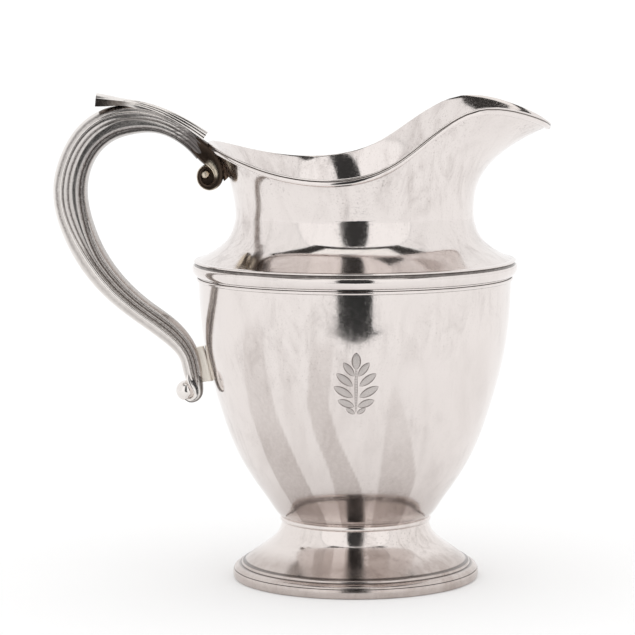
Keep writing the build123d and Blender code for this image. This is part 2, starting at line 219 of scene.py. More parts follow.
def draw_out(name, rings, ring_shut=False, crease=40, marks=None):
    """A piece drawn out of a tube: its rings are rows of points in millimetres, one row for each cut.

    With ring_shut the last row is the first one again, and the tube's ends are joined; otherwise they are
    capped. Each of the marks is a value for every point, kept under its name for the finish to read.
    """
    rings = np.asarray(rings, float)
    cuts, around = rings.shape[0], rings.shape[1]
    deselect_all()
    ends = "NOTHING" if ring_shut else "NGON"
    bpy.ops.mesh.primitive_cylinder_add(vertices=around, radius=1, depth=1, end_fill_type=ends)
    piece = bpy.context.object
    piece.name = name
    mesh = piece.data
    heights = [vertex.co.z for vertex in mesh.vertices]
    bpy.ops.object.mode_set(mode="EDIT")
    bpy.ops.mesh.select_mode(type="EDGE")
    bpy.ops.mesh.select_all(action="DESELECT")
    bpy.ops.object.mode_set(mode="OBJECT")
    for edge in mesh.edges:
        edge.select = abs(heights[edge.vertices[0]] - heights[edge.vertices[1]]) > 0.5
    bpy.ops.object.mode_set(mode="EDIT")
    bpy.ops.mesh.subdivide(number_cuts=cuts - 2)
    bpy.ops.object.mode_set(mode="OBJECT")
    places = []
    for vertex in mesh.vertices:
        corner = round(atan2(vertex.co.x, vertex.co.y) / (2 * pi) * around) % around
        cut = round((vertex.co.z + 0.5) * (cuts - 1))
        vertex.co = rings[cut, corner] * MM
        places.append((cut, corner))
    for mark, values in (marks or {}).items():
        kept = mesh.attributes.new(mark, "FLOAT", "POINT")
        for point, place in zip(kept.data, places):
            point.value = values[place]
    bpy.ops.object.mode_set(mode="EDIT")
    bpy.ops.mesh.select_all(action="SELECT")
    bpy.ops.mesh.remove_doubles(threshold=MERGE_REACH)
    bpy.ops.mesh.normals_make_consistent(inside=False)
    bpy.ops.object.mode_set(mode="OBJECT")
    smooth_shade(piece, crease)
    return piece


def strap(name, stations, sections, count, crease=40, paint=None):
    """A strap that follows stations of x, z, depth and width in the handle's plane.

    A section is a closed row of (out, across): out in half depths, positive to the left of the way, and
    across in half widths. Each cut has its own section, or all share one. paint makes the marks from how far
    along the strap each cut is and from the sections.
    """
    rows = smooth(stations, count)
    way = np.gradient(rows[:, :2], axis=0)
    way /= np.linalg.norm(way, axis=1)[:, None]
    out = np.stack([way[:, 1], -way[:, 0]], axis=1)
    sections = np.array(sections, float)
    if sections.ndim == 2:
        sections = np.repeat(sections[None], count, axis=0)
    reach = rows[:, 2:3] / 2 * sections[:, :, 0]
    rings = np.zeros((count, sections.shape[1], 3))
    rings[:, :, 0] = rows[:, 0:1] + out[:, 0:1] * reach
    rings[:, :, 2] = rows[:, 1:2] + out[:, 1:2] * reach
    rings[:, :, 1] = rows[:, 3:4] / 2 * sections[:, :, 1]
    marks = paint(np.linspace(0, 1, count)[:, None], sections) if paint else None
    return draw_out(name, rings, crease=crease, marks=marks)


def join(name, *pieces):
    """Several meshes made into one piece."""
    deselect_all()
    for piece in pieces:
        piece.select_set(True)
    bpy.context.view_layer.objects.active = pieces[0]
    bpy.ops.object.join()
    pieces[0].name = name
    return pieces[0]


# ------------------------------ silver


def new_group(name, inputs, outputs):
    """A shader node group with named sockets; each is a (name, kind, default) or a (name, kind)."""
    group = bpy.data.node_groups.new(name, "ShaderNodeTree")
    for socket_name, kind, default in inputs:
        socket = group.interface.new_socket(name=socket_name, in_out="INPUT", socket_type=kind)
        socket.default_value = default
    for socket_name, kind in outputs:
        group.interface.new_socket(name=socket_name, in_out="OUTPUT", socket_type=kind)
    group.nodes.new("NodeGroupInput")
    group.nodes.new("NodeGroupOutput")
    return group


class Wiring:
    """Short ways to add and link nodes in one tree."""

    def __init__(self, tree):
        self.tree = tree

    def put(self, socket, value):
        if isinstance(value, bpy.types.NodeSocket):
            self.tree.links.new(value, socket)
        else:
            socket.default_value = value

    def node(self, kind, **settings):
        made = self.tree.nodes.new(kind)
        for key, value in settings.items():
            setattr(made, key, value)
        return made

    def math(self, operation, *values, clamp=False):
        made = self.node("ShaderNodeMath", operation=operation, use_clamp=clamp)
        for socket, value in zip(made.inputs, values):
            self.put(socket, value)
        return made.outputs[0]

    def ramp(self, value, low, high, start=0.0, end=1.0):
        """value turned from low..high into start..end, with smooth ends."""
        made = self.node("ShaderNodeMapRange", interpolation_type="SMOOTHSTEP")
        for socket, number in zip(made.inputs, (value, low, high, start, end)):
            self.put(socket, number)
        return made.outputs["Result"]

    def mix(self, share, first, second):
        made = self.node("ShaderNodeMix", data_type="RGBA")
        self.put(made.inputs["Factor"], share)
        self.put(made.inputs[6], first)
        self.put(made.inputs[7], second)
        return made.outputs[2]

    def placed(self, turned=(0, 0, 0), scale=(1, 1, 1)):
        """Object coordinates, turned and scaled."""
        place = self.node("ShaderNodeTexCoord").outputs["Object"]
        mapping = self.node("ShaderNodeMapping")
        self.put(mapping.inputs["Vector"], place)
        mapping.inputs["Rotation"].default_value = turned
        mapping.inputs["Scale"].default_value = scale
        return mapping.outputs["Vector"]

    def mark(self, name):
        """A mark kept on the piece's own points."""
        made = self.node("ShaderNodeAttribute", attribute_name=name)
        return made.outputs["Fac"]

    def stops(self, value, stops):
        """A value looked up along a row of (place, level)."""
        made = self.node("ShaderNodeValToRGB")
        self.put(made.inputs["Fac"], value)
        elements = made.color_ramp.elements
        while len(elements) < len(stops):
            elements.new(1.0)
        for element, (place, level) in zip(elements, stops):
            element.position = place
            element.color = (level, level, level, 1)
        return made.outputs["Color"]

    def noise(self, vector, scale, detail=3.0, rough=0.5, distortion=0.0):
        made = self.node("ShaderNodeTexNoise")
        self.put(made.inputs["Vector"], vector)
        self.put(made.inputs["Scale"], scale)
        made.inputs["Detail"].default_value = detail
        made.inputs["Roughness"].default_value = rough
        made.inputs["Distortion"].default_value = distortion
        return made.outputs["Fac"]


def step_up(value, low, high):
    """0 below low, 1 above high and smooth between."""
    share = np.clip((np.asarray(value, float) - low) / (high - low), 0, 1)
    return share * share * (3 - 2 * share)


def polish_group():
    """Hand-polished silver: fine scratches in three directions, a soft mottle and small pits."""
    group = new_group(
        "polish_marks",
        [("Scratches", "NodeSocketFloat", 0.5), ("Pits", "NodeSocketFloat", 0.3),
         ("Polish", "NodeSocketFloat", 0.12)],
        [("Roughness", "NodeSocketFloat"), ("Height", "NodeSocketFloat")],
    )
    w = Wiring(group)
    given = group.nodes["Group Input"].outputs
    made = group.nodes["Group Output"].inputs
    marks = 0.0
    for turned, scale in (((0.3, 0.2, 0.5), (260, 9000, 400)), ((1.2, 0.4, 0.1), (300, 400, 11000)),
                          ((0.1, 0.9, 2.1), (8000, 500, 250))):
        streak = w.ramp(w.noise(w.placed(turned, scale), 1.0, 1.0), 0.60, 0.78)
        marks = w.math("ADD", marks, streak)
    pits = w.ramp(w.noise(w.placed(), 2600.0, 2.0), 0.70, 0.80)
    mottle = w.noise(w.placed(), 38.0, 5.0, 0.62, 0.6)
    fine = w.noise(w.placed(), 420.0, 3.0, 0.6)
    rough = w.math("MULTIPLY_ADD", w.ramp(mottle, 0.35, 0.75), 0.06, given["Polish"])
    rough = w.math("MULTIPLY_ADD", w.ramp(fine, 0.4, 0.8), 0.04, rough)
    rough = w.math("MULTIPLY_ADD", w.math("MULTIPLY", marks, given["Scratches"]), 0.08, rough)
    height = w.math("MULTIPLY", marks, w.math("MULTIPLY", given["Scratches"], -0.35))
    height = w.math("MULTIPLY_ADD", w.math("MULTIPLY", pits, given["Pits"]), -0.8, height)
    height = w.math("MULTIPLY_ADD", fine, 0.15, height)
    w.put(made["Roughness"], rough)
    w.put(made["Height"], height)
    return group


def tarnish_group():
    """Where tarnish lies: in clouds, in streaks run down the sides, in specks, and in corners."""
    group = new_group(
        "tarnish",
        [("Corner", "NodeSocketFloat", 0.0), ("Cloud", "NodeSocketFloat", 0.3),
         ("Silver", "NodeSocketColor", (0.9, 0.84, 0.8, 1)),
         ("Stain", "NodeSocketColor", (0.3, 0.22, 0.17, 1))],
        [("Colour", "NodeSocketColor"), ("Dirt", "NodeSocketFloat")],
    )
    w = Wiring(group)
    given = group.nodes["Group Input"].outputs
    made = group.nodes["Group Output"].inputs
    where = w.ramp(w.noise(w.placed(), 16.0, 2.0), 0.40, 0.66)
    cloud = w.ramp(w.noise(w.placed(scale=(1, 1, 0.5)), 85.0, 6.0, 0.68, 0.8), 0.42, 0.78)
    streak = w.ramp(w.noise(w.placed(scale=(1, 1, 0.12)), 240.0, 4.0, 0.6), 0.48, 0.74)
    speck = w.ramp(w.noise(w.placed(), 1100.0, 2.0, 0.7), 0.58, 0.70)
    veil = w.math("MULTIPLY", cloud, w.math("MULTIPLY_ADD", where, 0.75, 0.25))
    veil = w.math("MULTIPLY_ADD", w.math("MULTIPLY", streak, where), 0.45, veil)
    specks = w.math("MULTIPLY", speck, w.math("MULTIPLY_ADD", where, 0.7, 0.3))
    veil = w.math("MULTIPLY_ADD", specks, 0.75, veil)
    veil = w.math("MULTIPLY", veil, given["Cloud"], clamp=True)
    edge = w.noise(w.placed(), 160.0, 4.0, 0.7)
    corner = w.ramp(w.math("MULTIPLY_ADD", edge, 0.7, w.math("SUBTRACT", given["Corner"], 0.35)), 0.15, 0.75)
    dirt = w.math("MAXIMUM", veil, corner)
    w.put(made["Colour"], w.mix(dirt, given["Silver"], given["Stain"]))
    w.put(made["Dirt"], dirt)
    return group


def silver(name, polish, scratches, pits, cloud, corner_reach, stain, light, layer):
    """A silver finish of a light colour, tarnished towards a stain.

    corner_reach is how far tarnish spreads from a corner, in millimetres; 0 leaves it out. layer adds a last
    coat over the colour, unless it is None.
    """
    finish = bpy.data.materials.new(name)
    finish.use_nodes = True
    tree = finish.node_tree
    w = Wiring(tree)
    shader = tree.nodes["Principled BSDF"]
    shader.inputs["Metallic"].default_value = 1.0
    marks = w.node("ShaderNodeGroup", node_tree=groups["polish"])
    marks.inputs["Scratches"].default_value = scratches
    marks.inputs["Pits"].default_value = pits
    marks.inputs["Polish"].default_value = polish
    dirt = w.node("ShaderNodeGroup", node_tree=groups["tarnish"])
    dirt.inputs["Cloud"].default_value = cloud
    dirt.inputs["Silver"].default_value = light
    dirt.inputs["Stain"].default_value = stain
    if corner_reach:
        closeness = w.node("ShaderNodeAmbientOcclusion", samples=6, only_local=True)
        closeness.inputs["Distance"].default_value = corner_reach * MM
        w.put(dirt.inputs["Corner"], w.math("SUBTRACT", 1.0, closeness.outputs["AO"]))
    bump = w.node("ShaderNodeBump")
    bump.inputs["Strength"].default_value = 0.35
    bump.inputs["Distance"].default_value = SCRATCH_DEPTH
    w.put(bump.inputs["Height"], marks.outputs["Height"])
    colour, dull = dirt.outputs["Colour"], dirt.outputs["Dirt"]
    if layer:
        colour, dull = layer(w, colour, dull)
    w.put(shader.inputs["Base Color"], colour)
    w.put(shader.inputs["Roughness"], w.math("MULTIPLY_ADD", dull, 0.25, marks.outputs["Roughness"]))
    w.put(shader.inputs["Normal"], bump.outputs["Normal"])
    return finish


def height_in_mm(w):
    """Height above the table, in millimetres."""
    split = w.node("ShaderNodeSeparateXYZ")
    w.put(split.inputs[0], w.placed())
    return w.math("MULTIPLY", split.outputs[2], 1000.0)


def window(w, value, low, high, soft):
    """1 between low and high, with soft ends."""
    rising = w.ramp(value, low - soft, low + soft)
    falling = w.ramp(value, high - soft, high + soft, 1.0, 0.0)
    return w.math("MULTIPLY", rising, falling)


# Colours of the last coats, stains with painted shade and reflections, each with the finish or the place that
# it lies on
# Painted reflection of drapes on the bowl, also its brown haze: tarnish with painted shade
DRAPE_REFLECTION_AND_STAIN = (0.34, 0.28, 0.255, 1)
# Painted shadow under the rim wire, also the colour of the tarnish specks below it
RIM_SHADOW_AND_TARNISH = (0.09, 0.07, 0.06, 1)
# Painted shade in the creases of the shoulder's mouldings
CREASE_SHADE = (0.05, 0.04, 0.035, 1)
# Brown of the foot's low hollow: tarnish with painted shade
FOOT_BROWN = (0.26, 0.19, 0.16, 1)
# Painted shade in the dark lines at the foot's steps
STEP_SHADE = (0.07, 0.055, 0.05, 1)
# Tarnish with painted reflections of the dark gap, on the handle's reeds over the arch and low down
ARCH_STAIN_AND_SHADE = (0.075, 0.062, 0.060, 1)
LOW_REED_STAIN_AND_SHADE = (0.070, 0.048, 0.037, 1)
# Blackened tarnish, also painted shade at the rim wire's edges, on the leaf spur's sides and in the scroll's
# web
BLACKENED_AND_SHADE = (0.062, 0.044, 0.033, 1)
ENGRAVED_STAIN = (0.16, 0.13, 0.12, 1)
# Painted shade in dark lines at the foot's steps: lowest height, highest height, softness
foot_shade_lines = [(8.2, 9.0, 0.3), (6.75, 7.15, 0.2), (4.45, 4.75, 0.12)]


def drape_reflections_and_haze(w, colour, dull):
    """Painted reflections of drapes, as dark bands and fainter slanting streaks down the bowl, and a brown
    haze low down: tarnish with painted shade.
    """
    height = height_in_mm(w)
    # The bands: painted reflections of drapes, with a grain through them
    grain = w.ramp(w.noise(w.placed(), 520.0, 4.0, 0.7), 0.30, 0.62, 0.72, 1.0)
    band = w.math("MULTIPLY", w.ramp(w.mark("drape_reflection"), 0.02, 1.0), grain)
    # Slanting streaks: painted reflections of folds in the cloth
    slant = w.noise(w.placed((0, 0.55, 0), (70, 30, 13)), 1.0, 3.0, 0.55, 0.5)
    streak = w.math("MULTIPLY", w.ramp(slant, 0.46, 0.70), window(w, height, 48, 112, 22))
    # Brown haze low down: tarnish, with painted shade of the shadowed table that the bowl mirrors near the
    # foot
    haze = w.math("MULTIPLY", w.ramp(height, 36, 58, 1.0, 0.0), 0.22)
    amount = w.math("MULTIPLY_ADD", streak, 0.14, haze)
    amount = w.math("MULTIPLY_ADD", band, 0.46, amount, clamp=True)
    return w.mix(amount, colour, DRAPE_REFLECTION_AND_STAIN), dull


def under_rim(w, colour, dull):
    """Painted shadow in a dark line in the crease under the rim wire, with specks of tarnish trailing below
    it.
    """
    below = w.mark("below_rim")
    # Painted shadow of the rim wire on the neck
    crease = w.ramp(below, 0.02, 0.07, 0.75, 0.0)
    speck = w.ramp(w.noise(w.placed(), 800.0, 3.0, 0.75), 0.56, 0.66)
    patch = w.ramp(w.noise(w.placed(), 40.0, 2.0), 0.42, 0.60)
    trail = w.math("MULTIPLY", w.math("MULTIPLY", speck, patch), w.ramp(below, 0.1, 1.0, 0.6, 0.0))
    return w.mix(w.math("MAXIMUM", crease, trail), colour, RIM_SHADOW_AND_TARNISH), dull


def dark_lines(*lines):
    """Painted shade in dark lines along turned creases, each a (low, high, amount) in height."""
    def layer(w, colour, dull):
        height = height_in_mm(w)
        wander = w.math("MULTIPLY_ADD", w.noise(w.placed(), 300.0, 3.0), 0.5, 0.75)
        total = 0.0
        for low, high, amount in lines:
            total = w.math("MULTIPLY_ADD", window(w, height, low, high, 0.22), amount, total)
        total = w.math("MULTIPLY", total, wander, clamp=True)
        return w.mix(total, colour, CREASE_SHADE), w.math("MAXIMUM", dull, total)
    return layer


def foot_haze(w, colour, dull):
    """Brown haze in the low hollow of the foot, tarnish with painted shade, and painted shade in dark lines
    at its steps.
    """
    height = height_in_mm(w)
    cloud = w.ramp(w.noise(w.placed(), 90.0, 5.0, 0.65, 0.6), 0.30, 0.75, 0.65, 1.0)
    # The haze: tarnish with painted shade reflected from the table near the foot
    haze = w.math("MULTIPLY", w.ramp(height, 11.0, 17.5, 0.50, 0.0), cloud)
    # The lines: painted shade at the steps
    line = 0.0
    for low, high, soft in foot_shade_lines:
        line = w.math("ADD", line, window(w, height, low, high, soft), clamp=True)
    shaded = w.mix(haze, colour, FOOT_BROWN)
    return w.mix(w.math("MULTIPLY", line, 0.8), shaded, STEP_SHADE), w.math("MAXIMUM", dull, haze)


def reed_tarnish_and_shade(w, colour, dull):
    """Tarnish between the reeds of the handle, with painted reflections of the dark gap in its dark bands,
    heaviest low down and where it meets the neck.
    """
    run = w.mark("run")
    wander = w.math("SUBTRACT", w.noise(w.placed(), 210.0, 5.0, 0.7), 0.5)
    reed = w.math("MULTIPLY_ADD", w.mark("reed"), 1 / len(reeds), w.math("MULTIPLY", wander, 0.030))
    # Dark bands across the reeds: tarnish with painted reflections of the dark gap
    arch = w.stops(reed, [(0.0, 0.0), (0.11, 0.04), (0.145, 0.75), (0.18, 0.0), (0.30, 0.0), (0.335, 0.85),
                          (0.37, 0.28), (0.43, 0.30), (0.47, 0.80), (0.51, 0.72), (0.55, 0.32), (0.62, 0.34),
                          (0.665, 0.85), (0.76, 0.85), (0.80, 0.60), (0.87, 0.45), (0.93, 0.45), (0.97, 0.6)])
    low = w.stops(reed, [(0.0, 0.0), (0.09, 0.06), (0.145, 0.40), (0.18, 0.0), (0.30, 0.0), (0.335, 0.5),
                         (0.37, 0.05), (0.43, 0.12), (0.47, 0.60), (0.51, 0.88), (0.55, 0.82), (0.62, 0.50),
                         (0.665, 0.78), (0.72, 0.80), (0.80, 0.50), (0.87, 0.35), (0.93, 0.40), (0.97, 0.6)])
    lowness = w.ramp(run, 0.46, 0.66)
    amount = w.node("ShaderNodeMix", data_type="FLOAT")
    for socket, value in zip(amount.inputs[:1] + amount.inputs[2:4], (lowness, arch, low)):
        w.put(socket, value)
    speck = w.ramp(w.noise(w.placed(), 1300.0, 3.0, 0.7), 0.42, 0.62, 0.80, 1.12)
    amount = w.math("MULTIPLY", amount.outputs[0], speck)
    streaks = w.noise(w.placed((0, 0.75, 0), (120, 420, 900)), 1.0, 4.0, 0.65)
    ragged = w.math("MULTIPLY_ADD", w.math("SUBTRACT", streaks, 0.5), 0.16, run)
    end = w.ramp(ragged, 0.045, 0.125, 0.88, 0.0)
    amount = w.math("MAXIMUM", amount, end, clamp=True)
    brown = w.ramp(run, 0.30, 0.75)
    stain = w.mix(brown, ARCH_STAIN_AND_SHADE, LOW_REED_STAIN_AND_SHADE)
    return w.mix(amount, colour, stain), w.math("MAXIMUM", dull, w.math("MULTIPLY", amount, 0.8))


def blackened_with_painted_light(w, colour, dull):
    """A blackened piece, bare where its mark says that it is handled or rubbed clean; the same mark paints
    highlights and shade on the scrolls, the rim wire and the leaf.
    """
    wander = w.math("SUBTRACT", w.noise(w.placed(), 700.0, 4.0, 0.7), 0.5)
    bare = w.ramp(w.math("MULTIPLY_ADD", wander, 0.35, w.mark("bare")), 0.05, 0.95)
    return w.mix(bare, BLACKENED_AND_SHADE, colour), w.math("MULTIPLY_ADD", bare, -0.4, 0.5)


def hatching(w, colour, dull):
    """Engraved leaves: a dark outline and fine hatching inside."""
    edge = w.ramp(w.mark("edge"), 0.62, 0.80)
    wave = w.math("SINE", w.math("MULTIPLY", w.mark("run"), 60.0))
    hatch = w.math("MULTIPLY", w.ramp(wave, 0.0, 0.8), 0.35)
    amount = w.math("MAXIMUM", w.math("MULTIPLY", edge, 0.75), hatch)
    return w.mix(amount, colour, ENGRAVED_STAIN), w.math("MAXIMUM", dull, amount)


groups = {"polish": polish_group(), "tarnish": tarnish_group()}
BODY_STAIN = (0.42, 0.37, 0.35, 1)
MOULDING_STAIN = (0.22, 0.17, 0.14, 1)
HANDLE_STAIN = (0.26, 0.22, 0.20, 1)
BODY_LIGHT = (0.78, 0.725, 0.70, 1)
# Painted shade: dark lines in the cove above the ovolo, under the ovolo and under the bead
shoulder_shade_lines = dark_lines((158.75, 160.1, 0.8), (152.6, 153.4, 0.95), (150.2, 150.8, 0.9))
# Finishes: polish, scratches, pits, cloud, reach of corner tarnish in millimetres, stain, light, last coat
finish_rows = {
    "body_silver": (0.05, 0.6, 0.5, 0.42, 0, BODY_STAIN, BODY_LIGHT, drape_reflections_and_haze),
    "neck_silver": (0.05, 0.6, 0.5, 0.60, 0, BODY_STAIN, BODY_LIGHT, under_rim),
    "rim_silver": (0.05, 0.4, 0.2, 0.15, 0, MOULDING_STAIN, BODY_LIGHT, blackened_with_painted_light),
    "shoulder_silver": (0.06, 0.4, 0.2, 0.2, 0.8, MOULDING_STAIN, BODY_LIGHT, shoulder_shade_lines),
    "foot_silver": (0.06, 0.5, 0.3, 0.5, 0.8, (0.30, 0.24, 0.21, 1), (0.77, 0.71, 0.68, 1), foot_haze),
    "handle_silver": (0.12, 0.5, 0.8, 0.25, 0, HANDLE_STAIN, (0.81, 0.77, 0.74, 1), reed_tarnish_and_shade),
    "leaf_silver": (0.10, 0.5, 0.5, 0.2, 0, HANDLE_STAIN, (0.84, 0.80, 0.77, 1), blackened_with_painted_light),
    "scroll_silver": (0.16, 0.5, 0.8, 0.3, 0, (0.2, 0.15, 0.11, 1), (0.72, 0.64, 0.52, 1), blackened_with_painted_light),
    "strut_silver": (0.35, 0.5, 0.9, 0.9, 0, (0.045, 0.03, 0.024, 1), (0.17, 0.115, 0.085, 1), None),
    # The pad's cream is lifted to full brightness against the shade where it lies: partly painted light
    "pad_silver": (0.55, 0.5, 0.9, 0.25, 1.0, (0.40, 0.28, 0.18, 1), (1.0, 0.95, 0.87, 1), None),
    "engraved_silver": (0.22, 0.5, 0.3, 0.3, 0, BODY_STAIN, (0.60, 0.56, 0.54, 1), hatching),
}
finishes = {name: silver(name, *row) for name, row in finish_rows.items()}


def finished(piece, slot, *nodes, finish=None):
    """Give a piece its finish, let it ride on the body and stand for its CAD nodes."""
    piece.data.materials.clear()
    piece.data.materials.append(finishes[finish or slot])
    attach(piece, "root")
    if nodes:
        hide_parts(*nodes)


# ------------------------------ body


# Painted reflections of drapes, as dark bands down the bowl: height, left and right edge in degrees from the
# front, strength
drape_reflection_bands = [
    [(142, -45, -40, 0), (130, -47, -38, 0.5), (105, -50, -37, 0.55), (90, -51, -36, 0.6),
     (72, -49, -32, 0.9), (58, -48, -29, 1), (36, -46, -24, 1)],
    [(134, -17, -10, 0), (124, -19, -10, 0.55), (96, -22, -13, 0.75), (80, -20, -10, 0.75),
     (66, -16, -5, 0.9), (54, -14, 0, 1), (36, -13, 4, 1)],
    [(108, 12, 13, 0), (100, 10, 15, 0.35), (88, 10, 19, 0.45), (72, 9, 24, 0.6), (58, 9, 29, 0.8),
     (36, 9, 31, 0.9)],
    [(96, 128, 138, 0), (80, 124, 142, 0.6), (58, 130, 152, 0.9), (36, 136, 160, 1)],
    [(120, -160, -148, 0), (96, -164, -146, 0.5), (66, -158, -138, 0.8), (36, -152, -130, 1)],
]


def drape_reflection(place):
    """How strongly the painted reflection of drapes darkens the bowl at rows of x, y and z in metres."""
    height = place[:, 2] / MM
    turned = np.degrees(np.arctan2(place[:, 0], -place[:, 1]))
    reflection_strength = np.zeros(len(place))
    for band in drape_reflection_bands:
        rows = np.array(band[::-1], float)
        left, right, strength = (np.interp(height, rows[:, 0], rows[:, column]) for column in (1, 2, 3))
        inside = step_up(turned - left, -0.7, 0.7) * step_up(right - turned, -0.7, 0.7)
        reflection_strength = np.maximum(reflection_strength, inside * strength)
    return reflection_strength


def make_bowl():
    """The spun bowl, from the middle of its floor up over the edge and back down inside."""
    outside = smooth(floor_line + bowl_line, 90)
    inside = beside(outside, WALL)
    inside[0, 0] = 0
    rim = [(BOWL_RADIUS, BOWL_TOP), (BOWL_RADIUS - WALL, BOWL_TOP)]
    outline = [*outside, *rim, *inside[::-1]]
    shell = turn("bowl_shell", outline, steps=BOWL_STEPS)
    # The painted reflection of drapes, kept on the bowl's points for its finish
    kept = shell.data.attributes.new("drape_reflection", "FLOAT", "POINT")
    place = np.array([vertex.co for vertex in shell.data.vertices])
    kept.data.foreach_set("value", drape_reflection(place))
    finished(shell, "body_silver", "bowl")


def lip_shape():
    """The lip all round as a smooth function of the angle from the spout, in degrees."""
    near_spout = [(-angle, *rest) for angle, *rest in lip_stations[3:0:-1]]
    near_handle = [(360 - angle, *rest) for angle, *rest in lip_stations[-2:-5:-1]]
    rows = np.array(near_spout + lip_stations + near_handle, float)
    return natural_spline(rows[:, 0], rows[:, 1:])


def neck_line(lip_at, angle):
    """Outer line of the neck's wall at an angle from the spout, from the shoulder to the lip."""
    reach, height, lateness, curl = lip_at(abs((angle + 180) % 360 - 180))[0]
    flare = []
    for level in flare_levels:
        share = (1 - curl) * level**lateness + curl * level**CURL_POWER
        radius = waist_radius + (reach - waist_radius) * share
        flare.append((radius, waist_height + (height - waist_height) * level))
    line = np.concatenate([smooth(shoulder_line, 44)[:-1], smooth(shoulder_line[-1:] + flare, 40)])
    level = np.clip((line[:, 1] - waist_height) / (height - waist_height), 0, 1)
    lean = LIP_LEAN * reach * sin(radians(angle))
    line[:, 1] += lean * level**2
    return line


def all_round(loops):
    """Loops of (radius, height), one for each angle, stood up round the axis and closed."""
    angles = np.linspace(0, 2 * pi, LIP_STEPS, endpoint=False)
    rings = []
    for a, loop in zip(angles, loops):
        rings.append([(radius * cos(a), radius * sin(a), height) for radius, height in loop])
    return rings + rings[:1]


def make_neck(lines):
    """The neck's wall with a softened edge at the lip."""
    loops, rows_below = [], []
    for outside in lines:
        steps = np.linalg.norm(np.diff(outside, axis=0), axis=1)
        below = np.concatenate([np.cumsum(steps[::-1])[::-1], [0]]) - WIRE_HEIGHT
        inside = beside(outside, WALL)
        middle = (outside[-1] + inside[-1]) / 2
        up = (outside[-1] - outside[-2]) / np.linalg.norm(outside[-1] - outside[-2])
        edge = []
        for turned in (30, 60, 90, 120, 150):
            sideways = (outside[-1] - inside[-1]) / 2 * cos(radians(turned))
            edge.append(middle + sideways + up * LIP_ROUNDING * sin(radians(turned)))
        outer_foot = (BOWL_RADIUS, NECK_BASE)
        inner_foot = (BOWL_RADIUS - WALL, NECK_BASE)
        loops.append([outer_foot, *outside, *edge, *inside[::-1], inner_foot])
        plain_part = np.ones(len(edge) + len(inside) + 1)
        rows_below.append(np.concatenate([[1], np.clip(below / TRAIL_REACH, 0, 1), plain_part]))
    marks = {"below_rim": np.array(rows_below + rows_below[:1])}
    wall = draw_out("neck_wall", all_round(loops), ring_shut=True, crease=60, marks=marks)
    finished(wall, "body_silver", "neck", finish="neck_silver")


def make_rim(lines):
    """The half-round wire outside the lip, a little below its edge."""
    loops = []
    for line in lines:
        up = (line[-1] - line[-2]) / np.linalg.norm(line[-1] - line[-2])
        out = np.array([up[1], -up[0]])
        top = line[-1] - up * LIP_ROUNDING - out * WIRE_SINK
        loop = []
        for turned in np.linspace(0, 180, WIRE_POINTS):
            along = (1 - cos(radians(turned))) / 2 * WIRE_HEIGHT
            loop.append(top - up * along + out * (WIRE_DEPTH + WIRE_SINK) * sin(radians(turned)))
        loops.append(loop)
    rings = all_round(loops)
    # Dark at the wire's top and bottom edges: painted shade where it meets the lip and the neck
    bare = step_up(np.sin(np.linspace(0, pi, WIRE_POINTS)), 0.12, 0.5)
    marks = {"bare": np.tile(bare, (len(rings), 1))}
    wire = draw_out("rim_wire", rings, ring_shut=True, crease=70, marks=marks)
    finished(wire, "moulding_silver", "rim_moulding", finish="rim_silver")


def make_shoulder():
    """The ovolo with a small fillet and cove above it, and the fine bead below it."""
    cove = smooth([(80.3, 159.9), (79.95, 159.3), (80.25, 158.75)], 6)
    round_part = [
        (80.7, 158.75), (81.3, 158.2), (81.55, 157.2), (81.35, 155.8), (80.6, 154.3), (79.75, 153.3),
    ]
    outline = [(78.3, 161.1), (80.3, 160.95), (80.6, 160.75), (80.65, 160.4), (80.5, 160.1),
               *cove, *smooth(round_part, 16), (79.3, 153.1), (78.3, 153.1)]
    ovolo = turn("shoulder_ovolo", outline, 50)
    finished(ovolo, "moulding_silver", "shoulder_moulding", finish="shoulder_silver")
    bead = arc(78.6, 151.55, 0.95, 0.95, range(0, 181, 15))
    fine_bead = turn("shoulder_fine_bead", [(78.2, 152.5), *bead, (78.2, 150.6)], 60)
    finished(fine_bead, "moulding_silver", "shoulder_bead", finish="shoulder_silver")


# ------------------------------ foot


def make_foot():
    """The foot's shell, its collar, its step bead, the sloping border and the band it stands on."""
    outside = smooth(foot_line, 60)
    inside = beside(outside, -WALL)
    shell = [(36.2, 28.9), *outside, (SHELL_END, SHELL_BASE), (SHELL_END - WALL, SHELL_BASE), *inside[::-1]]
    finished(turn("foot_shell", shell), "foot_silver", "foot")
    ring = arc(COLLAR_RADIUS, 30, 1.15, -1.4, range(0, 181, 20))
    finished(turn("foot_ring", [(33.6, 28.6), *ring, (33.6, 30.5)], 50), "foot_silver", "foot_collar")
    bead = arc(SHELL_END, SHELL_BASE, STEP_BEAD, STEP_BEAD, range(0, 91, 10))
    step = turn("foot_step_ring", [(56, 6.8), (56, 8.6), *bead, (57.9, 6.8)], 50)
    finished(step, "foot_silver", "foot_step_bead")
    slope = smooth([(57.6, 6.95), (58.9, 6.75), (60.3, 6.2), (61.3, 5.3), (61.55, 4.75)], 14)
    border = [(54.2, 6.9), *slope, (61.3, 4.55), (57.4, 4.6), (54.2, 5.9)]
    finished(turn("foot_slope", border, 50), "foot_silver", "foot_border")
    side = arc(61.55, 2.3, 0.5, 2.2, range(10, 171, 16))
    band = turn("foot_standing_band", [(58.8, 4.5), *side, (61.4, 0), (58.8, 0)], 50)
    finished(band, "foot_silver", "foot_band")


# ------------------------------ handle


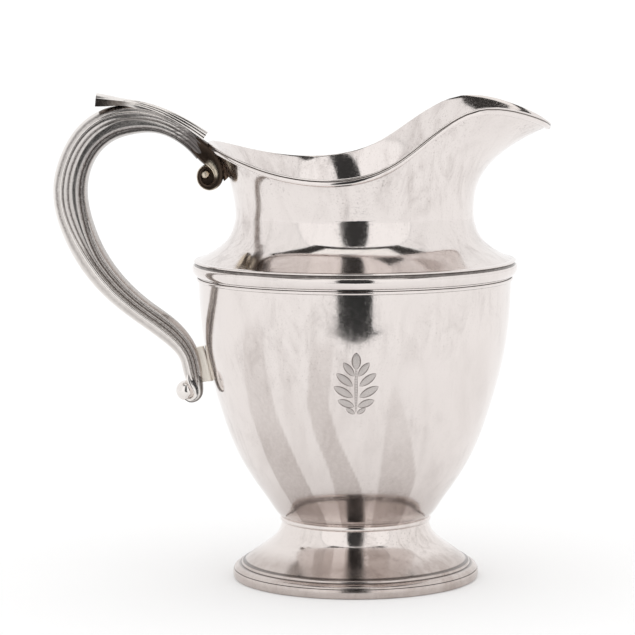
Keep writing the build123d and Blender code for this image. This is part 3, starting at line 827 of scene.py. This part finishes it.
def reed_sections(side, count):
    """The handle's section at every cut: its reeds lie further in along the lower part."""
    arch, low, marks = [], [], []
    for index, (points, reed) in enumerate(reeds):
        rows = np.array(reed, float)
        arch.append(smooth(rows[:, [0, 2]], points))
        low.append(smooth(rows[:, [1, 2]], points))
        marks.extend(index + np.linspace(0, 1, points))
    arch, low = np.concatenate(arch), np.concatenate(low)
    lowness = step_up(np.linspace(0, 1, count), 0.45, 0.62)[:, None, None]
    rows = (1 - lowness) * arch + lowness * low
    sections = np.stack([1 - 2 * rows[:, :, 0], side * rows[:, :, 1]], axis=2)
    return sections, np.array(marks)


def make_handle():
    """The two reeded halves of the hollow handle, joined along its middle."""
    halves = (("handle_near_shell", -1, "handle_near_half"), ("handle_far_shell", 1, "handle_far_half"))
    for name, side, node in halves:
        sections, reed_marks = reed_sections(side, HANDLE_CUTS)

        def paint(run, section):
            across = np.zeros(section.shape[:2])
            return {"run": run + across, "reed": reed_marks + across}

        finished(strap(name, handle_stations, sections, HANDLE_CUTS, 50, paint), "handle_silver", node)


def rounded_section(corner=0.22, hollow=0.06, crown=0.12, sides=11, ends=9):
    """A strap's section: rounded corners, slightly hollow sides and crowned back and inside."""
    flat = 1 - corner
    quarter = []
    for turned in (0, 30, 60, 90):
        quarter.append((1 - corner * (1 - sin(radians(turned))), 1 - corner * (1 - cos(radians(turned)))))
    side = [(out, 1 - hollow * (1 - (out / flat)**2)) for out in np.linspace(-flat, flat, sides + 2)[1:-1]]
    back = []
    for across in np.linspace(flat, -flat, ends + 2)[1:-1]:
        back.append((1 + crown * (1 - (across / flat)**2), across))
    half = side + quarter + back + [(out, -across) for out, across in quarter[::-1]]
    return half + [(-out, -across) for out, across in half]


def shade_web(centre, radius, half_width):
    """The sunk disc that fills a scroll behind its curl, left dark as painted shade between the turns."""
    turns = np.linspace(0, 2 * pi, 48, endpoint=False)
    rings = []
    for across in (-half_width, 0, half_width):
        rings.append([(centre[0] + radius * cos(a), across, centre[1] + radius * sin(a)) for a in turns])
    return draw_out("scroll_shade_web", rings)


def eye(centre, radius, reach, bareness):
    """A domed button on the eye of a scroll, through its whole width."""
    deselect_all()
    place = (centre[0] * MM, 0, centre[1] * MM)
    bpy.ops.mesh.primitive_uv_sphere_add(
        segments=48, ring_count=24, radius=radius * MM, location=place, rotation=(pi / 2, 0, 0))
    ball = bpy.context.object
    bpy.ops.object.transform_apply(location=True, rotation=True, scale=True)
    kept = ball.data.attributes.new("bare", "FLOAT", "POINT")
    for vertex, point in zip(ball.data.vertices, kept.data):
        beyond = abs(vertex.co.y) / (radius * MM)
        vertex.co.y = np.sign(vertex.co.y) * beyond**0.8 * reach * MM
        point.value = bareness
    smooth_shade(ball, 80)
    return ball


def upper_paint(run, sections):
    """Painted highlights on the blackened upper volute: a light crescent inside its bend, and a bright outer
    edge below.
    """
    inward = sections[:, :, 0]
    crescent = step_up(inward, -0.15, 0.25) * step_up(run, 0.24, 0.33) * (1 - step_up(run, 0.42, 0.52))
    edge = (1 - step_up(inward, -0.85, -0.45)) * step_up(run, 0.50, 0.60) * 0.9
    return {"bare": np.maximum(crescent, edge)}


def lower_paint(run, sections):
    """The lower scroll is bare but for a brown right edge."""
    inward = sections[:, :, 0]
    return {"bare": 0.30 + 0.7 * step_up(inward, -0.60, -0.25) + 0 * run}


def make_scrolls():
    """The volutes at the two ends of the handle: a strap curled round a domed eye."""
    upper_way = [
        (-81.6, 221.0, 6.4, 7.6), (-77.6, 217.6, 7.8, 9.4), (-73.6, 213.8, 8.6, 10.4),
        (-69.6, 208.8, 6.6, 10.4), (-68.0, 203.4, 4.8, 10.4), (-69.6, 199.1, 3.9, 10.2),
        (-73.2, 197.6, 3.0, 10.0), (-76.6, 199.4, 2.4, 9.8), (-77.8, 203.2, 2.1, 9.4),
        (-76.4, 206.7, 1.8, 9.0), (-73.4, 207.6, 1.6, 8.6), (-71.2, 205.4, 1.4, 8.0),
    ]
    upper = strap("upper_curl", upper_way, rounded_section(), 110, 50, upper_paint)
    # The web has no mark of its own and stays blackened: a dark sheet standing for the shade in the curl
    upper = join("upper_volute", upper, shade_web((-73.0, 203.6), 5.4, 3.6), eye((-74.6, 203.9), 2.9, 6.1, 0.9))
    finished(upper, "handle_silver", "upper_scroll", finish="scroll_silver")
    lower_way = [
        (-81.6, 104.0, 6.4, 7.6), (-80.9, 101.0, 7.6, 9.4), (-79.6, 96.8, 5.8, 10.2),
        (-79.4, 93.4, 4.4, 10.2), (-80.9, 91.4, 3.2, 10.0), (-83.4, 90.6, 2.0, 9.4),
        (-85.6, 91.4, 1.0, 8.0),
    ]
    lower = strap("lower_curl", lower_way, rounded_section(), 70, 50, lower_paint)
    finished(join("lower_volute", lower, eye((-85.1, 95.2), 5.1, 6.2, 1.0)), "handle_silver", "lower_scroll",
             finish="leaf_silver")


def make_leaf():
    """The reeded strap along the top of the handle, thickened and spread into a thumb spur at its end."""
    way = [
        (-75.2, 222.0, 7.4, 8.6), (-83.5, 227.9, 6.4, 9.0), (-97.0, 235.2, 5.0, 9.2),
        (-108.0, 238.9, 4.0, 9.6), (-115.5, 240.3, 3.6, 11.0), (-122.0, 240.9, 5.2, 13.4),
        (-128.6, 241.5, 6.6, 14.2),
    ]
    count = 110
    crown = np.linspace(-0.40, 0.40, 13)
    sections = []
    for run in np.linspace(0, 1, count):
        spur = float(step_up(run, 0.62, 0.86))
        fall = 0.14 + 0.56 * spur
        top = [(1.0 - fall * (across / 0.4)**2, across * (1 + 1.1 * spur)) for across in crown]
        side = []
        for reed, start in enumerate((0.80, 0.42, 0.04)):
            for step in range(7):
                out = (start - 0.36 * step / 6) * (1 - spur) + spur * (0.24 - 0.28 * (reed + step / 6))
                crowned = 0.05 * sin(pi * step / 6) * (1 - spur)
                bulge = 0.43 + (0.80 - start) * 0.40 + 0.13 * step / 6 + crowned
                side.append((out, bulge * (1 - spur) + spur * (0.90 + 0.02 * reed)))
        other = [(out, -across) for out, across in side[::-1]]
        sections.append((top + side + [(-1.0, 0.94), (-1.0, -0.94)] + other)[::-1])

    def paint(run, section):
        out, across = section[:, :, 0], np.abs(section[:, :, 1])
        # Painted reflection of dark: the spur's sides darker than its top; also dark lines along the grooves
        # between the reeds
        spur = step_up(run, 0.62, 0.80)
        topness = step_up(out, 0.20, 0.32)
        seams = np.zeros(out.shape)
        for seam in (0.80, 0.43, 0.05):
            seams = np.maximum(seams, np.exp(-((out - seam) / 0.055)**2) * (across > 0.45))
        reeded = 1 - 0.9 * seams * step_up(0.72 - run, 0.0, 0.25)
        return {"bare": (1 - spur) * reeded + spur * (0.25 + 0.75 * topness)}

    leaf = strap("thumb_leaf_reeds", way, sections, count, 35, paint)
    finished(leaf, "handle_silver", "thumb_leaf", finish="leaf_silver")


def make_fillers():
    """The strut under the lip and the pad on the bowl, where the handle is soldered on."""
    strut_way = [(-70.5, 213.2, 7.0, 6.0), (-65.5, 209.6, 8.0, 6.6), (-60.6, 205.0, 11.6, 7.0)]
    strut = strap("solder_strut", strut_way, rounded_section(0.3), 16, 50)
    finished(strut, "solder_silver", "upper_strut", finish="strut_silver")
    pad_way = [
        (-78.3, 117.2, 4.0, 4.0), (-77.2, 112.0, 5.0, 5.0), (-76.0, 106.0, 6.0, 5.6), (-75.2, 99.8, 7.0, 6.0),
    ]
    pad = strap("solder_pad", pad_way, rounded_section(0.3), 24, 50)
    finished(pad, "solder_silver", "lower_pad", finish="pad_silver")


# ------------------------------ engraved ornament

spray_middle = -3.0
# The stem and leaves of the engraved spray: how far beside its middle, height, length, width, and lean from
# upright in degrees
spray_leaves = [
    (0, 105.5, 25, 1.5, 0), (0, 118.6, 8.5, 4.6, 0),
    (3.6, 114.6, 8.5, 3.6, 38), (5.6, 109.4, 10.0, 4.0, 52), (6.2, 103.4, 10.5, 4.2, 60),
    (4.8, 97.6, 8.5, 3.8, 68), (2.6, 93.8, 5.0, 2.4, 55),
]


def spray_leaf(place, height, length, width, lean):
    """One leaf, laid on the front of the bowl and a hair's breadth proud of it."""
    deselect_all()
    bpy.ops.mesh.primitive_grid_add(x_subdivisions=24, y_subdivisions=12, size=2)
    leaf = bpy.context.object
    edge_mark = leaf.data.attributes.new("edge", "FLOAT", "POINT")
    run_mark = leaf.data.attributes.new("run", "FLOAT", "POINT")
    outside = smooth(bowl_line, 80)
    for index, vertex in enumerate(leaf.data.vertices):
        along, across = vertex.co.x, vertex.co.y
        edge_mark.data[index].value = max(abs(across), abs(along)**6)
        run_mark.data[index].value = along
        half = max(width / 2 * (1 - along**2)**0.75, 0.02)
        up = along * length / 2 * cos(radians(lean)) - across * half * sin(radians(lean))
        side = along * length / 2 * sin(radians(lean)) + across * half * cos(radians(lean))
        level = height + up
        proud = 0.02 + 0.10 * (1 - across**2) * (1 - along**4)
        radius = np.interp(level, outside[:, 1], outside[:, 0]) + proud
        turned = (spray_middle + place + side) / radius - pi / 2
        vertex.co = (radius * cos(turned) * MM, radius * sin(turned) * MM, level * MM)
    thickness = leaf.modifiers.new("thickness", "SOLIDIFY")
    thickness.thickness = 0.06 * MM
    thickness.offset = 0
    bpy.ops.object.modifier_apply(modifier=thickness.name)
    bpy.ops.object.mode_set(mode="EDIT")
    bpy.ops.mesh.select_all(action="SELECT")
    bpy.ops.mesh.normals_make_consistent(inside=False)
    bpy.ops.object.mode_set(mode="OBJECT")
    return leaf


def make_spray():
    """A symmetric spray of leaves engraved on the front of the bowl."""
    leaves = []
    for place, height, length, width, lean in spray_leaves:
        for side in ((1, -1) if place else (1,)):
            leaves.append(spray_leaf(side * place, height, length, width, side * lean))
    spray = join("engraved_spray", *leaves)
    smooth_shade(spray, 60)
    finished(spray, "body_silver", finish="engraved_silver")


lip = lip_shape()
neck_lines = [neck_line(lip, 360 * step / LIP_STEPS) for step in range(LIP_STEPS)]
make_bowl()
make_neck(neck_lines)
make_rim(neck_lines)
make_shoulder()
make_foot()
make_handle()
make_scrolls()
make_leaf()
make_fillers()
make_spray()


# ------------------------------ table, room and camera

CAMERA_PLACE = Vector((-0.0694, -1.4485, 0.2915))
CAMERA_TURN = -2.0
CAMERA_DIP = 6.3
CAMERA_ROLL = -0.25

# The gap towards the viewer, laid on the table: how far off each edge is and half its width, in metres
gap_edges = [
    (9.0, 2.1), (0.60, 0.125), (0.535, 0.122), (0.515, 0.20), (0.49, 0.105), (0.455, 0.065), (0.435, 0.02),
]
CARD_LIFT = 0.001
GAP_DARK = (0.035, 0.037, 0.037)
# Cards overhead: name, half width, near edge, far edge, height, brightness
overhead_cards = [
    ("overhead_frame", 0.72, -0.64, 0.6, 1.32, (0.04, 0.038, 0.036)),
    ("overhead_light", 0.42, -0.44, 0.4, 1.30, (1.1, 1.09, 1.07)),
]
# How bright the tent is as a light, and as the silver mirrors it
TENT_LIGHT = 1.08
TENT_IN_SILVER = 1.14


def plain(name, colour, glow=0.0):
    """A matt colour for the things round the pitcher, with a little light of its own."""
    finish = bpy.data.materials.new(name)
    finish.use_nodes = True
    shader = finish.node_tree.nodes["Principled BSDF"]
    shader.inputs["Base Color"].default_value = (*colour, 1)
    shader.inputs["Roughness"].default_value = 1.0
    shader.inputs["Specular IOR Level"].default_value = 0.0
    shader.inputs["Emission Color"].default_value = (1, 1, 1, 1)
    shader.inputs["Emission Strength"].default_value = glow
    return finish


def card(name, corners, brightness):
    """A card that shows only in reflections: its corners in metres, and how bright it is."""
    deselect_all()
    bpy.ops.mesh.primitive_plane_add(size=1)
    made = bpy.context.object
    made.name = name
    for vertex, corner in zip(made.data.vertices, corners):
        vertex.co = corner
    finish = bpy.data.materials.new(name)
    finish.use_nodes = True
    tree = finish.node_tree
    tree.nodes.clear()
    glow = tree.nodes.new("ShaderNodeEmission")
    glow.inputs["Color"].default_value = (*brightness, 1)
    out = tree.nodes.new("ShaderNodeOutputMaterial")
    tree.links.new(glow.outputs["Emission"], out.inputs["Surface"])
    made.data.materials.append(finish)
    made.visible_camera = False
    made.visible_diffuse = False
    made.visible_shadow = False
    made.visible_transmission = False


def make_table():
    """A wide white table top."""
    deselect_all()
    bpy.ops.mesh.primitive_plane_add(size=14, location=(0, 0, -0.0002))
    table = bpy.context.object
    table.name = "table_top"
    table.data.materials.append(plain("table_white", (0.93, 0.93, 0.93), 0.06))


def make_cards():
    """Dark cards for the gap in the tent towards the viewer, and a soft light in a dark frame overhead."""
    slope = CAMERA_PLACE.x / CAMERA_PLACE.y
    for (far, far_half), (near, near_half) in zip(gap_edges, gap_edges[1:]):
        corners = []
        for reach, half in ((far, far_half), (near, near_half)):
            for side in (-half, half):
                corners.append((-reach * slope + side, -reach, CARD_LIFT))
        card("gap_before_table", corners, GAP_DARK)
    for name, half, near, far, height, brightness in overhead_cards:
        card(name, [(side, reach, height) for reach in (near, far) for side in (-half, half)], brightness)


def make_tent():
    """The white tent, as light from all round: darker in the gap, at the seams and at the sides."""
    world = bpy.data.worlds.new("tent")
    world.use_nodes = True
    bpy.context.scene.world = world
    tree = world.node_tree
    w = Wiring(tree)
    sky = tree.nodes["Background"]
    way = w.node("ShaderNodeSeparateXYZ")
    w.put(way.inputs[0], w.node("ShaderNodeTexCoord").outputs["Generated"])
    x, y, z = way.outputs
    toward = atan2(CAMERA_PLACE[0], -CAMERA_PLACE[1])
    sideways = w.math("SUBTRACT", w.math("ARCTAN2", x, w.math("MULTIPLY", y, -1.0)), toward)
    width = w.math("ABSOLUTE", sideways)
    rise = w.math("ARCSINE", z)
    beside_gap = w.ramp(width, radians(12.6), radians(14.0), 1.0, 0.0)
    gap = w.math("MULTIPLY", beside_gap, w.ramp(rise, radians(60), radians(62), 1.0, 0.0))
    off_seam = w.math("ABSOLUTE", w.math("SUBTRACT", width, radians(56)))
    seam = w.ramp(off_seam, 0.0, radians(1.5), 0.35, 0.0)
    side = w.ramp(width, radians(55), radians(58), 0.0, 0.10)
    white = w.math("SUBTRACT", w.math("SUBTRACT", 1.0, seam), side)
    level = w.math("MULTIPLY", white, w.math("SUBTRACT", 1.0, w.math("MULTIPLY", gap, 0.965)))
    glossy = w.node("ShaderNodeLightPath").outputs["Is Glossy Ray"]
    level = w.math("MULTIPLY", level, TENT_IN_SILVER)
    level = w.math("MULTIPLY_ADD", w.math("SUBTRACT", level, TENT_LIGHT), glossy, TENT_LIGHT)
    colour = w.node("ShaderNodeCombineXYZ")
    for socket in colour.inputs:
        w.put(socket, level)
    w.put(sky.inputs["Color"], colour.outputs[0])
    sky.inputs["Strength"].default_value = 1.0


def make_camera():
    """The viewer's place, a little above the rim and slightly on the handle's side."""
    camera = bpy.data.cameras.new("viewer")
    camera.lens = 164.4
    camera.sensor_width = 36.0
    camera.clip_end = 60
    seen = bpy.data.objects.new("viewer", camera)
    bpy.context.scene.collection.objects.link(seen)
    turned = Matrix.Rotation(radians(CAMERA_TURN), 4, "Z")
    lowered = Matrix.Rotation(radians(90 - CAMERA_DIP), 4, "X")
    rolled = Matrix.Rotation(radians(CAMERA_ROLL), 4, "Z")
    look = turned @ lowered @ rolled
    seen.matrix_world = Matrix.Translation(CAMERA_PLACE) @ look
    bpy.context.scene.camera = seen


make_table()
make_cards()
make_tent()
make_camera()
bpy.context.scene.view_settings.view_transform = "Standard"
